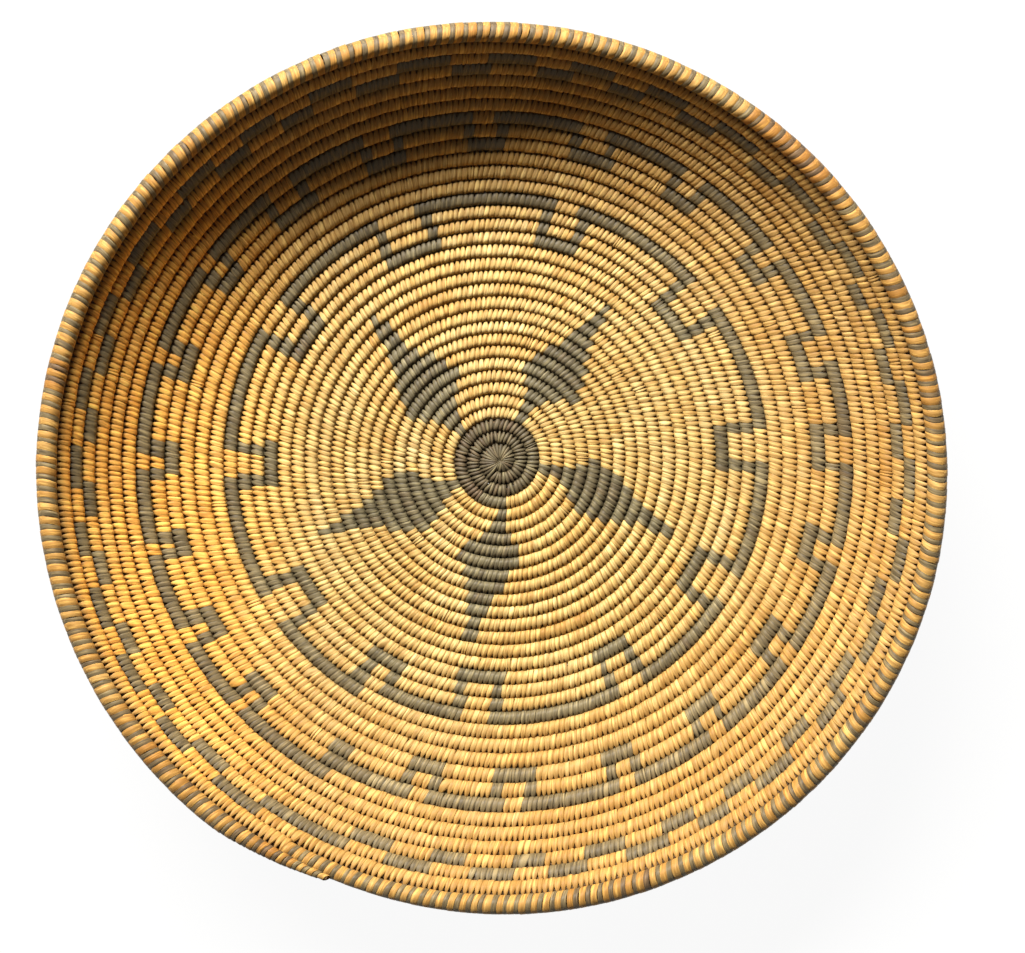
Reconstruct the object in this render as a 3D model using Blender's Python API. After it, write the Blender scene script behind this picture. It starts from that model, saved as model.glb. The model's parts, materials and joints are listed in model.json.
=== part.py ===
"""Coiled basket: a shallow bowl sewn from one long coil.

A bundle of willow rods winds outwards from the middle, up the wall and round the rim. Splints sewn
round the bundle hold each row to the row below it. The model keeps the bundle and the stitching
apart: lengths of rod bundle spliced end to end, a sleeve of stitching for each row, a knot in the
middle where the coil starts, and a thicker rim row whose end tapers off onto the wall.

Everything follows one curve. It runs from the middle of the base up the wall, and its parameter is
the number of turns that the coil has made. Sections stand in planes through the basket's axis.
Units are metres, +Z is up, and the origin is the middle of the underside.
"""

import math

import bmesh
import bpy
import numpy as np

MM = 0.001

# Rows of the coil, counted from the middle. One row is one turn, and the rim is one more.
BASE_ROWS = 12
FLARE_ROWS = 9
WALL_ROWS = 12

# Width of a row along the wall, from seam to seam. It grows over a few turns where the wall changes.
BASE_PITCH = 5.35 * MM
FLARE_PITCH = 5.78 * MM
WALL_PITCH = 6.35 * MM
PITCH_CHANGE_TURNS = 2.0

# The wall is level under the base rows and steepens steadily up to the rim.
RIM_SLOPE = math.radians(63.5)
STEEPENING = 1.55

# The coil's section.
COIL_THICKNESS = 6.2 * MM
SEAM_GAP = 0.45 * MM
SPLINT_THICKNESS = 0.8 * MM
ROD_CLEARANCE = 0.3 * MM

# The rim row is thicker. It swells up just after its start and tapers off onto the wall at its end.
RIM_WIDTH = 7.0 * MM
RIM_THICKNESS = 7.8 * MM
RIM_SWELL_TURNS = 0.08
RIM_TAIL_TURNS = 0.02
RIM_TAPER_TURNS = 0.045
RIM_TIP_SCALE = 0.3

# The first turn swells up from a thin tip, round a small knot.
START_ANGLE = math.radians(241.0)
START_SWELL_TURNS = 0.3
START_TIP_SCALE = 0.4
KNOT_RADIUS = 1.6 * MM
KNOT_CHAMFER = 0.4 * MM
KNOT_SIDES = 16

# Equal lengths of rod bundle, spliced end to end. They stop short of the coil's two tapered tips.
BUNDLES = 11
SPLICE_GAP = 0.3 * MM

# The basket is a little out of round, as hand work is: wider along one line than across it.
OVALNESS = 0.008
OVAL_ANGLE = math.radians(-18.0)

# Sections for each turn. The small turns in the middle need fewer.
MIDDLE_ROWS = 7
MIDDLE_SECTIONS = 12
SECTIONS = 24
TAPER_SECTIONS = 4

CURVE_STEPS = 96
SHARP_ANGLE = math.radians(50.0)

LAST_WALL_ROW = BASE_ROWS + FLARE_ROWS + WALL_ROWS
COIL_END = LAST_WALL_ROW + 1 + RIM_TAIL_TURNS
RODS_START = START_SWELL_TURNS
RODS_END = COIL_END - RIM_TAPER_TURNS

WILLOW_SPLINT = ("willow_splint", (0.80, 0.60, 0.34), 0.55)
DEVILS_CLAW_SPLINT = ("devils_claw_splint", (0.10, 0.085, 0.06), 0.5)
WILLOW_ROD = ("willow_rod", (0.62, 0.45, 0.26), 0.7)
DARK_ROWS = 3


def clear_scene():
    """Removes the objects that a new Blender file starts with."""
    for thing in list(bpy.data.objects):
        bpy.data.objects.remove(thing, do_unlink=True)


def principled(finish):
    """Returns the material for a finish: its name, its colour and its roughness."""
    name, colour, roughness = finish
    material = bpy.data.materials.get(name)
    if material is None:
        material = bpy.data.materials.new(name)
        material.use_nodes = True
        shader = material.node_tree.nodes["Principled BSDF"]
        shader.inputs["Base Color"].default_value = (*colour, 1.0)
        shader.inputs["Roughness"].default_value = roughness
        shader.inputs["Metallic"].default_value = 0.0
    return material


def slope_at(turn):
    """The wall's slope above level where the coil has made so many turns."""
    rise = np.clip((np.asarray(turn, float) - BASE_ROWS) / (LAST_WALL_ROW - BASE_ROWS), 0.0, 1.0)
    return RIM_SLOPE * rise**STEEPENING


def pitch_at(turn):
    """The row's width from seam to seam where the coil has made so many turns."""
    flare_end = BASE_ROWS + FLARE_ROWS
    turns = (BASE_ROWS, BASE_ROWS + PITCH_CHANGE_TURNS, flare_end, flare_end + PITCH_CHANGE_TURNS)
    return np.interp(turn, turns, (BASE_PITCH, FLARE_PITCH, FLARE_PITCH, WALL_PITCH))


class WallCurve:
    """The middle of the wall's thickness as radius and height, from the axis to above the rim.

    The seam between two rows lies on this curve: the row that starts at a turn fills it from that
    turn to the next.
    """

    def __init__(self):
        steps = int(math.ceil((COIL_END + 1.5) * CURVE_STEPS))
        self.turns = np.arange(steps + 1) / CURVE_STEPS
        middles = (self.turns[1:] + self.turns[:-1]) / 2
        step = pitch_at(middles) / CURVE_STEPS
        slope = slope_at(middles)
        self.radii = np.concatenate([[0.0], np.cumsum(step * np.cos(slope))])
        self.heights = np.concatenate([[0.0], np.cumsum(step * np.sin(slope))]) + COIL_THICKNESS / 2

    def point(self, turn):
        """Radius and height on the curve."""
        return np.array([np.interp(turn, self.turns, self.radii),
                         np.interp(turn, self.turns, self.heights)])


WALL = WallCurve()


def directions(slope):
    """Unit vectors along the wall, outwards and up, and across it, into the bowl."""
    along = np.array([math.cos(slope), math.sin(slope)])
    across = np.array([-math.sin(slope), math.cos(slope)])
    return along, across


def coil_size(turn):
    """Half of the coil's full width and thickness at a turn, and how far a tip has shrunk it."""
    inner, outer = WALL.point(turn), WALL.point(turn + 1)
    width = (np.linalg.norm(outer - inner) - SEAM_GAP) / 2
    thickness = COIL_THICKNESS / 2
    if turn >= LAST_WALL_ROW:
        swell = (turn - LAST_WALL_ROW - RIM_TAIL_TURNS) / RIM_SWELL_TURNS
        swell = min(max(swell, 0.0), 1.0)
        width += (RIM_WIDTH / 2 - width) * swell
        thickness += (RIM_THICKNESS / 2 - thickness) * swell
    scale = 1.0
    if turn < START_SWELL_TURNS:
        scale = START_TIP_SCALE + (1 - START_TIP_SCALE) * turn / START_SWELL_TURNS
    if turn > RODS_END:
        scale = 1 - (1 - RIM_TIP_SCALE) * (turn - RODS_END) / RIM_TAPER_TURNS
    return width, thickness, scale


def stitch_outline(width, thickness):
    """The stitching's outer section: six sides, flat below and above, as pairs along and across."""
    return [(-width, 0.0), (-width / 2, -thickness), (width / 2, -thickness),
            (width, 0.0), (width / 2, thickness), (-width / 2, thickness)]


def bore_outline(width, thickness):
    """The stitching's bore: three sides round one rod lying above two, a splint inside the outline."""
    crown = thickness - SPLINT_THICKNESS
    floor = -crown / 2
    side_lean = math.hypot(width / 2, thickness) / thickness
    half = width * (1 + floor / (2 * thickness)) - SPLINT_THICKNESS * side_lean
    return [(-half, floor), (half, floor), (0.0, crown)]


def rod_outline(width, thickness):
    """The rod bundle's section: the bore drawn in by the clearance on all three sides."""
    corners = np.array(bore_outline(width, thickness))
    sides = [math.dist(corners[i - 1], corners[i]) for i in range(3)]
    area = sides[1] * (corners[2][1] - corners[0][1]) / 2
    inner_radius = 2 * area / sum(sides)
    opposite = (sides[2], sides[0], sides[1])
    middle = sum(corners[i] * opposite[i] for i in range(3)) / sum(sides)
    return [tuple(middle + (corner - middle) * (1 - ROD_CLEARANCE / inner_radius)) for corner in corners]


def section_middle(turn):
    """The section's middle as radius and height, with the wall's slope there.

    The start's tip is drawn in against the next row and stays on the ground. The rim's tip stays on
    the row below it.
    """
    width, thickness, scale = coil_size(turn)
    if turn < START_SWELL_TURNS:
        slope = float(slope_at(turn + 1))
        along, across = directions(slope)
        middle = WALL.point(turn + 1) - along * (SEAM_GAP / 2 + width * scale)
        return middle - across * thickness * (1 - scale), slope
    if turn >= LAST_WALL_ROW:
        slope = float(slope_at(turn))
        along, across = directions(slope)
        return WALL.point(turn) + along * (SEAM_GAP / 2 + width * scale), slope
    return WALL.point(turn + 0.5), float(slope_at(turn + 0.5))


def place(turn, outline):
    """Stands a section's outline at its place on the coil, and returns its corners in space."""
    width, thickness, scale = coil_size(turn)
    middle, slope = section_middle(turn)
    along, across = directions(slope)
    angle = START_ANGLE + 2 * math.pi * turn
    corners = []
    for beside, above in outline(width, thickness):
        radius, height = middle + (along * beside + across * above) * scale
        stretch = OVALNESS * radius / WALL.point(LAST_WALL_ROW)[0]
        radius *= 1 + stretch * math.cos(2 * (angle - OVAL_ANGLE))
        corners.append((radius * math.cos(angle), radius * math.sin(angle), height))
    return np.array(corners)


def sections_per_turn(turn):
    """How many sections a turn has there."""
    return MIDDLE_SECTIONS if turn < MIDDLE_ROWS else SECTIONS


def section_turns(start, end):
    """The turns at which sections stand from start to end, on the same angles in every row."""
    turns = [start]
    while True:
        count = sections_per_turn(turns[-1] + 1e-6)
        following = (math.floor(turns[-1] * count + 1e-6) + 1) / count
        if following >= end - 1e-6:
            break
        turns.append(following)
    if end > RODS_END:
        turns = [turn for turn in turns if turn < RODS_END - 1e-6]
        turns += [RODS_END + RIM_TAPER_TURNS * i / TAPER_SECTIONS for i in range(TAPER_SECTIONS)]
    return turns + [end]


def stations(start, end, outline):
    """Section corners from start to end, the last drawn back a little along the last facets."""
    rings = [place(turn, outline) for turn in section_turns(start, end)]
    last_step = np.linalg.norm(rings[-1] - rings[-2], axis=1).mean()
    rings[-1] = rings[-1] + (rings[-2] - rings[-1]) * SPLICE_GAP / last_step
    return rings


def new_object(name, mesh_builder, height, finish, parent):
    """Makes an object on the basket's axis, at a height, from a function that fills a bmesh."""
    build = bmesh.new()
    mesh_builder(build)
    bmesh.ops.translate(build, vec=(0.0, 0.0, -height), verts=build.verts)
    bmesh.ops.recalc_face_normals(build, faces=build.faces)
    mesh = bpy.data.meshes.new(name)
    build.to_mesh(mesh)
    build.free()
    mesh.shade_smooth()
    mesh.set_sharp_from_angle(angle=SHARP_ANGLE)
    mesh.materials.append(principled(finish))
    made = bpy.data.objects.new(name, mesh)
    made.location = (0.0, 0.0, height)
    made.parent = parent
    bpy.context.scene.collection.objects.link(made)
    return made


def skin(build, rings):
    """Joins rings of corners into a tube wall and returns the vertices of its two end rings."""
    loops = [[build.verts.new(corner) for corner in ring] for ring in rings]
    for near, far in zip(loops[:-1], loops[1:]):
        for i in range(len(near)):
            build.faces.new((near[i - 1], near[i], far[i], far[i - 1]))
    return loops[0], loops[-1]


def close_between(build, outline, bore):
    """Closes a sleeve's end between its six-sided outline and its three-sided bore."""
    for i in range(3):
        build.faces.new((outline[2 * i], outline[2 * i + 1], bore[i]))
        build.faces.new((outline[2 * i + 1], outline[(2 * i + 2) % 6], bore[(i + 1) % 3], bore[i]))


def make_stitching(name, start, end, finish, parent):
    """A sleeve of stitching: one row of splints round the rod bundle."""
    def fill(build):
        outer_ends = skin(build, stations(start, end, stitch_outline))
        bore_ends = skin(build, stations(start, end, bore_outline))
        for outline, bore in zip(outer_ends, bore_ends):
            close_between(build, outline, bore)
    return new_object(name, fill, section_middle(start)[0][1], finish, parent)


def make_rods(name, start, end, parent):
    """A length of the rod bundle inside the stitching, in one unbroken spiral."""
    def fill(build):
        for face_end in skin(build, stations(start, end, rod_outline)):
            build.faces.new(face_end)
    return new_object(name, fill, section_middle(start)[0][1], WILLOW_ROD, parent)


def make_knot(parent):
    """The knot in the middle: a small chamfered plug as thick as the coil."""
    def fill(build):
        shape = bmesh.ops.create_cone(build, cap_ends=True, segments=KNOT_SIDES, radius1=KNOT_RADIUS,
                                      radius2=KNOT_RADIUS, depth=COIL_THICKNESS)
        bmesh.ops.translate(build, vec=(0.0, 0.0, COIL_THICKNESS / 2), verts=shape["verts"])
        rims = [edge for edge in build.edges if edge.calc_face_angle() > math.radians(60.0)]
        bmesh.ops.bevel(build, geom=rims, offset=KNOT_CHAMFER, segments=1, affect="EDGES")
    return new_object("start_knot", fill, 0.0, DEVILS_CLAW_SPLINT, parent)


def bundle_spans():
    """Where each length of rod bundle starts and ends, in turns, at the sections nearest equal shares."""
    turns = section_turns(RODS_START, RODS_END)
    middles = [place(turn, rod_outline).mean(axis=0) for turn in turns]
    steps = [math.dist(near, far) for near, far in zip(middles[:-1], middles[1:])]
    lengths = np.concatenate([[0.0], np.cumsum(steps)])
    shares = np.linspace(0.0, lengths[-1], BUNDLES + 1)
    splices = [turns[int(np.abs(lengths - share).argmin())] for share in shares]
    return list(zip(splices[:-1], splices[1:]))


def least_gap():
    """The least distance between points of one turn of the coil and points of the next."""
    turns = section_turns(0.0, COIL_END)
    rings = [place(turn, stitch_outline) for turn in turns]
    least = math.inf
    for turn, ring in zip(turns, rings):
        beside = [other for at, other in zip(turns, rings) if abs(at - turn - 1) < 1.5 / SECTIONS]
        for other in beside:
            apart = np.linalg.norm(ring[:, None, :] - other[None, :, :], axis=2)
            least = min(least, float(apart.min()))
    return least


def build_basket():
    """Makes every piece of the basket under one empty."""
    clear_scene()
    basket = bpy.data.objects.new("coiled_basket", None)
    bpy.context.scene.collection.objects.link(basket)
    make_knot(basket)
    for row in range(1, LAST_WALL_ROW + 1):
        finish = DEVILS_CLAW_SPLINT if row <= DARK_ROWS else WILLOW_SPLINT
        make_stitching(f"stitching_row_{row:02d}", row - 1.0, float(row), finish, basket)
    make_stitching("rim_stitching", float(LAST_WALL_ROW), COIL_END, WILLOW_SPLINT, basket)
    for number, (start, end) in enumerate(bundle_spans(), start=1):
        make_rods(f"foundation_rods_{number:02d}", start, end, basket)
    print(f"least gap between the coil's turns: {least_gap() / MM:.2f} mm")


build_basket()
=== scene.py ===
"""Coiled basket, dressed: every stitch sewn round the coil, in willow and devil's claw splints.

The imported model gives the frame. This script repeats the coil's curve, sews each row over it as
single stitches, lays the willow rods inside, and sets the pattern, the finishes, the floor, the
light and the camera. Units are metres, +Z is up, and the origin is the middle of the underside.
"""

import itertools
import json
import logging
import math
from dataclasses import dataclass, field, replace
from enum import Enum
from typing import Any

import bmesh
import bpy
import numpy as np
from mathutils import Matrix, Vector

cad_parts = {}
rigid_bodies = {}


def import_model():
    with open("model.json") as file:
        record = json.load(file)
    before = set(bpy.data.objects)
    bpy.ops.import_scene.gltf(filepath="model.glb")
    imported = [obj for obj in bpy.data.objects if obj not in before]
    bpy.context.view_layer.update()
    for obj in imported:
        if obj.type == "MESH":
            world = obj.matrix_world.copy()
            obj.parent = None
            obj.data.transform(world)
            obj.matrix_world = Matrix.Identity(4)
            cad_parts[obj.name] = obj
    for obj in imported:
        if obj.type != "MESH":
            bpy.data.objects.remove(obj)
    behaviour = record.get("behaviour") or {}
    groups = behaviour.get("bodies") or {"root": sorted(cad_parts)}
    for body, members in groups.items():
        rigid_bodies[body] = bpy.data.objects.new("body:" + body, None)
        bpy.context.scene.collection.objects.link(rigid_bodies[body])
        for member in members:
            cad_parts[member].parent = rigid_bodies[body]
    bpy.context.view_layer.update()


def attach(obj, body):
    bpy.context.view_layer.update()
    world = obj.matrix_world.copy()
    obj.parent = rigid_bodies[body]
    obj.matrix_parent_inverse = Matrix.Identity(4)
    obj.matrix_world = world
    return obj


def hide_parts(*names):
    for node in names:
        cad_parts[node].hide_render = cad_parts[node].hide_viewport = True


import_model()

log = logging.getLogger("coiled_basket")

MM = 0.001
BODY = "root"
START_DEGREES = 241.0
NOISE_MIDDLE = 0.5
FORMS = 5
FORM_DRAWS = 1000

Numbers = tuple[float, ...]
Range = tuple[float, float]
Triple = tuple[float, float, float]
Graph = tuple[Range, ...]


class Splint(Enum):
    """The two splints that the basket is sewn with, by their material slots."""

    WILLOW = "willow_splint"
    DEVILS_CLAW = "devils_claw_splint"


# Small tools


def read_graph(place: Any, graph: Graph) -> Any:
    """The height of a graph of straight lines at a place, or at each of many."""
    return np.interp(place, *zip(*graph))


def sum_up(steps: np.ndarray) -> np.ndarray:
    """Running totals, from 0."""
    return np.concatenate([[0.0], np.cumsum(steps)])


def outwards(angle: np.ndarray) -> np.ndarray:
    """Level directions away from the axis at some angles."""
    return np.stack([np.cos(angle), np.sin(angle), np.zeros_like(angle)], axis=-1)


def within(angle: float, start: float, end: float) -> bool:
    """Whether an angle lies from start to end, counter-clockwise, in degrees."""
    return (angle - start) % 360.0 <= (end - start) % 360.0


def show(name: str, data: bpy.types.ID) -> bpy.types.Object:
    """Puts a mesh, a lamp or a camera in the scene and returns its object."""
    bpy.context.scene.collection.objects.link(shown := bpy.data.objects.new(name, data))
    return shown


def make_mesh(name: str, *shape: Any, **attributes: Any) -> bpy.types.Mesh:
    """Makes a mesh.

    Args:
        name: Its name.
        shape: Its points, its loose edges and its faces.
        attributes: A number or a vector for every point, by the attribute's name.

    Returns:
        The mesh.
    """
    mesh = bpy.data.meshes.new(name)
    mesh.from_pydata(*shape)
    for attribute, values in attributes.items():
        values = np.asarray(values, np.float32)
        kind, part = ("FLOAT_VECTOR", "vector") if values.ndim > 1 else ("FLOAT", "value")
        mesh.attributes.new(attribute, kind, "POINT").data.foreach_set(part, values.ravel())
    return mesh


# Nodes


@dataclass(frozen=True)
class Signal:
    """A node's output, on which Python's operators add Math nodes."""

    bench: "Bench"
    socket: bpy.types.NodeSocket

    def _math(self, operation: str, first: Any, second: Any) -> "Signal":
        """The result of a Math node on two signals or numbers."""
        return self.bench.node("ShaderNodeMath", {0: first, 1: second}, operation=operation)

    def __add__(self, other: Any) -> "Signal":
        """self + other"""
        return self._math("ADD", self, other)

    def __radd__(self, other: Any) -> "Signal":
        """other + self"""
        return self._math("ADD", other, self)

    def __sub__(self, other: Any) -> "Signal":
        """self - other"""
        return self._math("SUBTRACT", self, other)

    def __rsub__(self, other: Any) -> "Signal":
        """other - self"""
        return self._math("SUBTRACT", other, self)

    def __mul__(self, other: Any) -> "Signal":
        """self * other"""
        return self._math("MULTIPLY", self, other)

    def __rmul__(self, other: Any) -> "Signal":
        """other * self"""
        return self._math("MULTIPLY", other, self)

    def step(self, low: float, high: float) -> "Signal":
        """A mask that runs smoothly from 0 at low to 1 at high."""
        return self.bench.node("ShaderNodeMapRange", {
            "Value": self, "From Min": low, "From Max": high}, interpolation_type="SMOOTHSTEP")


class Bench:
    """Builds the nodes of one tree."""

    def __init__(self, tree: bpy.types.NodeTree) -> None:
        """Clears the tree and starts on it."""
        self.tree = tree
        tree.nodes.clear()

    def node(self, kind: str, sockets: dict[int | str, Any] | None = None,
             output: int | str = 0, **settings: Any) -> Signal:
        """Adds any node.

        Args:
            kind: The node's type.
            sockets: Values or signals for its inputs, by name or number.
            output: The output to return.
            settings: Its properties, set first. "stops" are a colour ramp's places and colours.

        Returns:
            The chosen output.
        """
        made = self.tree.nodes.new(kind)
        stops = settings.pop("stops", ())
        for _ in stops[2:]:
            made.color_ramp.elements.new(1.0)
        for i, (place, colour) in enumerate(stops):
            made.color_ramp.elements[i].position = place
            made.color_ramp.elements[i].color = (*colour, 1.0)
        for setting, value in settings.items():
            setattr(made, setting, value)
        for socket, value in (sockets or {}).items():
            if isinstance(value, Signal):
                self.tree.links.new(value.socket, made.inputs[socket])
            else:
                made.inputs[socket].default_value = value
        return Signal(self, (made.outputs or made.inputs)[output])


class ShaderBench(Bench):
    """Builds the nodes of one material or world."""

    MIX_FACTOR, MIX_FIRST, MIX_SECOND, MIXED_COLOUR = 0, 6, 7, 2

    def __init__(self, owner: bpy.types.ID) -> None:
        """Starts on the tree of a material or a world."""
        self.owner, owner.use_nodes = owner, True
        super().__init__(owner.node_tree)

    def mix(self, factor: Any, first: Any, second: Any, blend: str = "MIX") -> Signal:
        """Mixes two colours, each a signal or three numbers, by a signal or a number."""
        first, second = (c if isinstance(c, Signal) else (*c, 1.0) for c in (first, second))
        return self.node("ShaderNodeMix", {
            self.MIX_FACTOR: factor, self.MIX_FIRST: first, self.MIX_SECOND: second},
            self.MIXED_COLOUR, data_type="RGBA", blend_type=blend)

    def attribute(self, name: str, output: str = "Fac") -> Signal:
        """Reads a mesh attribute, as a number or as a vector."""
        return self.node("ShaderNodeAttribute", output=output, attribute_name=name)

    def parts(self, vector: Signal) -> list[Signal]:
        """The three parts of a vector."""
        split = self.node("ShaderNodeSeparateXYZ", {0: vector}).socket.node
        return [Signal(self, output) for output in split.outputs]

    def noise(self, vector: Signal, scale: float, detail: float = 2.0) -> Signal:
        """Noise from 0 to 1 over a vector."""
        return self.node("ShaderNodeTexNoise", {"Vector": vector, "Scale": scale,
                                                "Detail": detail}, noise_dimensions="3D")

    def finish(self, shader: Signal, output: str = "ShaderNodeOutputMaterial") -> Any:
        """Sends a shader to the output and returns the material or the world."""
        self.node(output, {"Surface": shader})
        return self.owner


@dataclass(frozen=True)
class SplintFinish:
    """A split plant fibre, sewn over the coil: one tone a stitch, with fibres along it.

    The stitches carry a "tone" from 0 to 1, a "fibre" vector (across the splint and along it in
    millimetres, and a number that sets its fibres apart) and how far each place is "unshaded",
    clear of the painted shade. A change over the basket runs between two radii, two heights or
    two ways to one side; the change to one side is painted light and shade.
    """

    name: str
    tones: tuple[tuple[float, Triple], ...]
    aged: Triple
    # Painted light and shade on one side, below the rim's top: a colour multiplied in there.
    painted_side_lighting: Triple
    lighting_side: Triple
    # The colour of dark fibre streaks and of the painted shade; its depth is the painted shade's
    # strength.
    shade_and_streak: Triple
    painted_shade_depth: float
    fibre_contrast: float
    roughness: float
    fibre_scale: Triple = (1.35, 0.12, 40.0)
    fibre_tone_scale: float = 30.0
    fibre_detail: float = 3.0
    fibre_bump: float = 0.45
    fibre_height: float = 0.2 * MM
    fibre_roughness: float = 0.25
    mottles: Graph = ((38.0, 0.45), (9.0, 0.3))
    aged_radii: Range = (0.075, 0.15)
    lighting_reach: Range = (0.07, 0.14)
    lighting_heights: Range = (0.062, 0.057)
    streak_depths: Range = (0.0, 0.35)
    light_streak: Triple = (1.0, 0.98, 0.9)
    dark_streak_share: float = 0.6
    wax: float = 0.04
    wax_roughness: float = 0.4
    gloss: float = 0.2

    def material(self) -> bpy.types.Material:
        """Builds the splint's material.

        Returns:
            The material.
        """
        bench = ShaderBench(bpy.data.materials.new(self.name))
        tone = bench.attribute("tone")
        place = bench.node("ShaderNodeTexCoord", output="Object")
        across, along, apart = (part * scale for part, scale in zip(
            bench.parts(bench.attribute("fibre", "Vector")), self.fibre_scale))
        strands = bench.node("ShaderNodeCombineXYZ", {
            0: across, 1: along, 2: apart + tone * self.fibre_tone_scale})
        fine = bench.noise(strands, 1.0, self.fibre_detail)

        shade = tone
        for scale, strength in self.mottles:
            shade = shade + (bench.noise(place, scale) - NOISE_MIDDLE) * strength
        colour = bench.node("ShaderNodeValToRGB", {0: shade}, stops=self.tones)
        level = bench.node("ShaderNodeVectorMath", {0: place, 1: (1.0, 1.0, 0.0)},
                           operation="MULTIPLY")
        radius = bench.node("ShaderNodeVectorMath", {0: level}, "Value", operation="LENGTH")
        colour = bench.mix(radius.step(*self.aged_radii), colour, self.aged, "MULTIPLY")
        # Painted light and shade on one side of the basket, below the rim's top.
        side = bench.node("ShaderNodeVectorMath", {0: place, 1: self.lighting_side}, "Value",
                          operation="DOT_PRODUCT")
        height = bench.parts(place)[2]
        side_lit = side.step(*self.lighting_reach) * height.step(*self.lighting_heights)
        colour = bench.mix(side_lit, colour, self.painted_side_lighting, "MULTIPLY")
        streaks = (fine - NOISE_MIDDLE) * self.fibre_contrast
        colour = bench.mix(streaks.step(*self.streak_depths), colour, self.light_streak,
                           "SOFT_LIGHT")
        # Dark fibre streaks, in the same colour as the painted shade.
        dark = (0.0 - streaks).step(*self.streak_depths) * self.dark_streak_share
        colour = bench.mix(dark, colour, self.shade_and_streak)
        # Painted shade: tails, ends and under corners are darkened by the "unshaded" attribute.
        painted_shade = (1.0 - bench.attribute("worn")) * self.painted_shade_depth
        colour = bench.mix(painted_shade, colour, self.shade_and_streak)

        rough = self.roughness + (fine - NOISE_MIDDLE) * self.fibre_roughness
        bump = bench.node("ShaderNodeBump", {"Strength": self.fibre_bump,
                                             "Distance": self.fibre_height, "Height": fine})
        return bench.finish(bench.node("ShaderNodeBsdfPrincipled", {
            "Base Color": colour, "Roughness": rough, "Normal": bump, "Coat Weight": self.wax,
            "Coat Roughness": self.wax_roughness, "Specular IOR Level": self.gloss}))


@dataclass(frozen=True)
class RodFinish:
    """Peeled willow rods: matte brown, with bark flecks left along them."""

    name: str = "willow_rod"
    light: Triple = (0.18, 0.1, 0.04)
    dark: Triple = (0.08, 0.044, 0.018)
    fleck_scale: float = 400.0
    fleck_detail: float = 3.0
    fleck_edges: Range = (0.35, 0.7)
    fleck_bump: float = 0.4
    fleck_height: float = 0.3 * MM
    roughness: float = 0.6
    fleck_roughness: float = 0.25

    def material(self) -> bpy.types.Material:
        """Builds the rods' material.

        Returns:
            The material.
        """
        bench = ShaderBench(bpy.data.materials.new(self.name))
        place = bench.node("ShaderNodeTexCoord", output="Object")
        flecks = bench.noise(place, self.fleck_scale, self.fleck_detail)
        colour = bench.mix(flecks.step(*self.fleck_edges), self.light, self.dark)
        bump = bench.node("ShaderNodeBump", {"Strength": self.fleck_bump,
                                             "Distance": self.fleck_height, "Height": flecks})
        return bench.finish(bench.node("ShaderNodeBsdfPrincipled", {
            "Base Color": colour, "Roughness": self.roughness + flecks * self.fleck_roughness,
            "Normal": bump}))


WILLOW_FINISH = SplintFinish(
    name="willow_splint",
    tones=((0.0, (0.58, 0.45, 0.21)), (0.3, (0.54, 0.39, 0.155)), (0.6, (0.50, 0.335, 0.115)),
           (0.85, (0.44, 0.265, 0.077)), (1.0, (0.35, 0.185, 0.048))),
    # The west wall is painted lighter and warmer, as if lit.
    aged=(0.86, 0.71, 0.56), painted_side_lighting=(1.75, 1.43, 0.9), lighting_side=(-1.0, 0.0, 0.0),
    shade_and_streak=(0.23, 0.11, 0.021), painted_shade_depth=0.75, fibre_contrast=1.9, roughness=0.6)

DEVILS_CLAW_FINISH = SplintFinish(
    name="devils_claw_splint",
    tones=((0.0, (0.2, 0.17, 0.095)), (0.35, (0.16, 0.133, 0.073)), (0.65, (0.128, 0.105, 0.057)),
           (0.9, (0.103, 0.077, 0.043)), (1.0, (0.108, 0.072, 0.04))),
    # The north side is painted darker, as shade.
    aged=(1.15, 1.03, 0.92), painted_side_lighting=(0.6, 0.57, 0.54), lighting_side=(0.0, 1.0, 0.0),
    shade_and_streak=(0.03, 0.022, 0.012), painted_shade_depth=0.65, fibre_contrast=1.8, roughness=0.55)


# The coil


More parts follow.
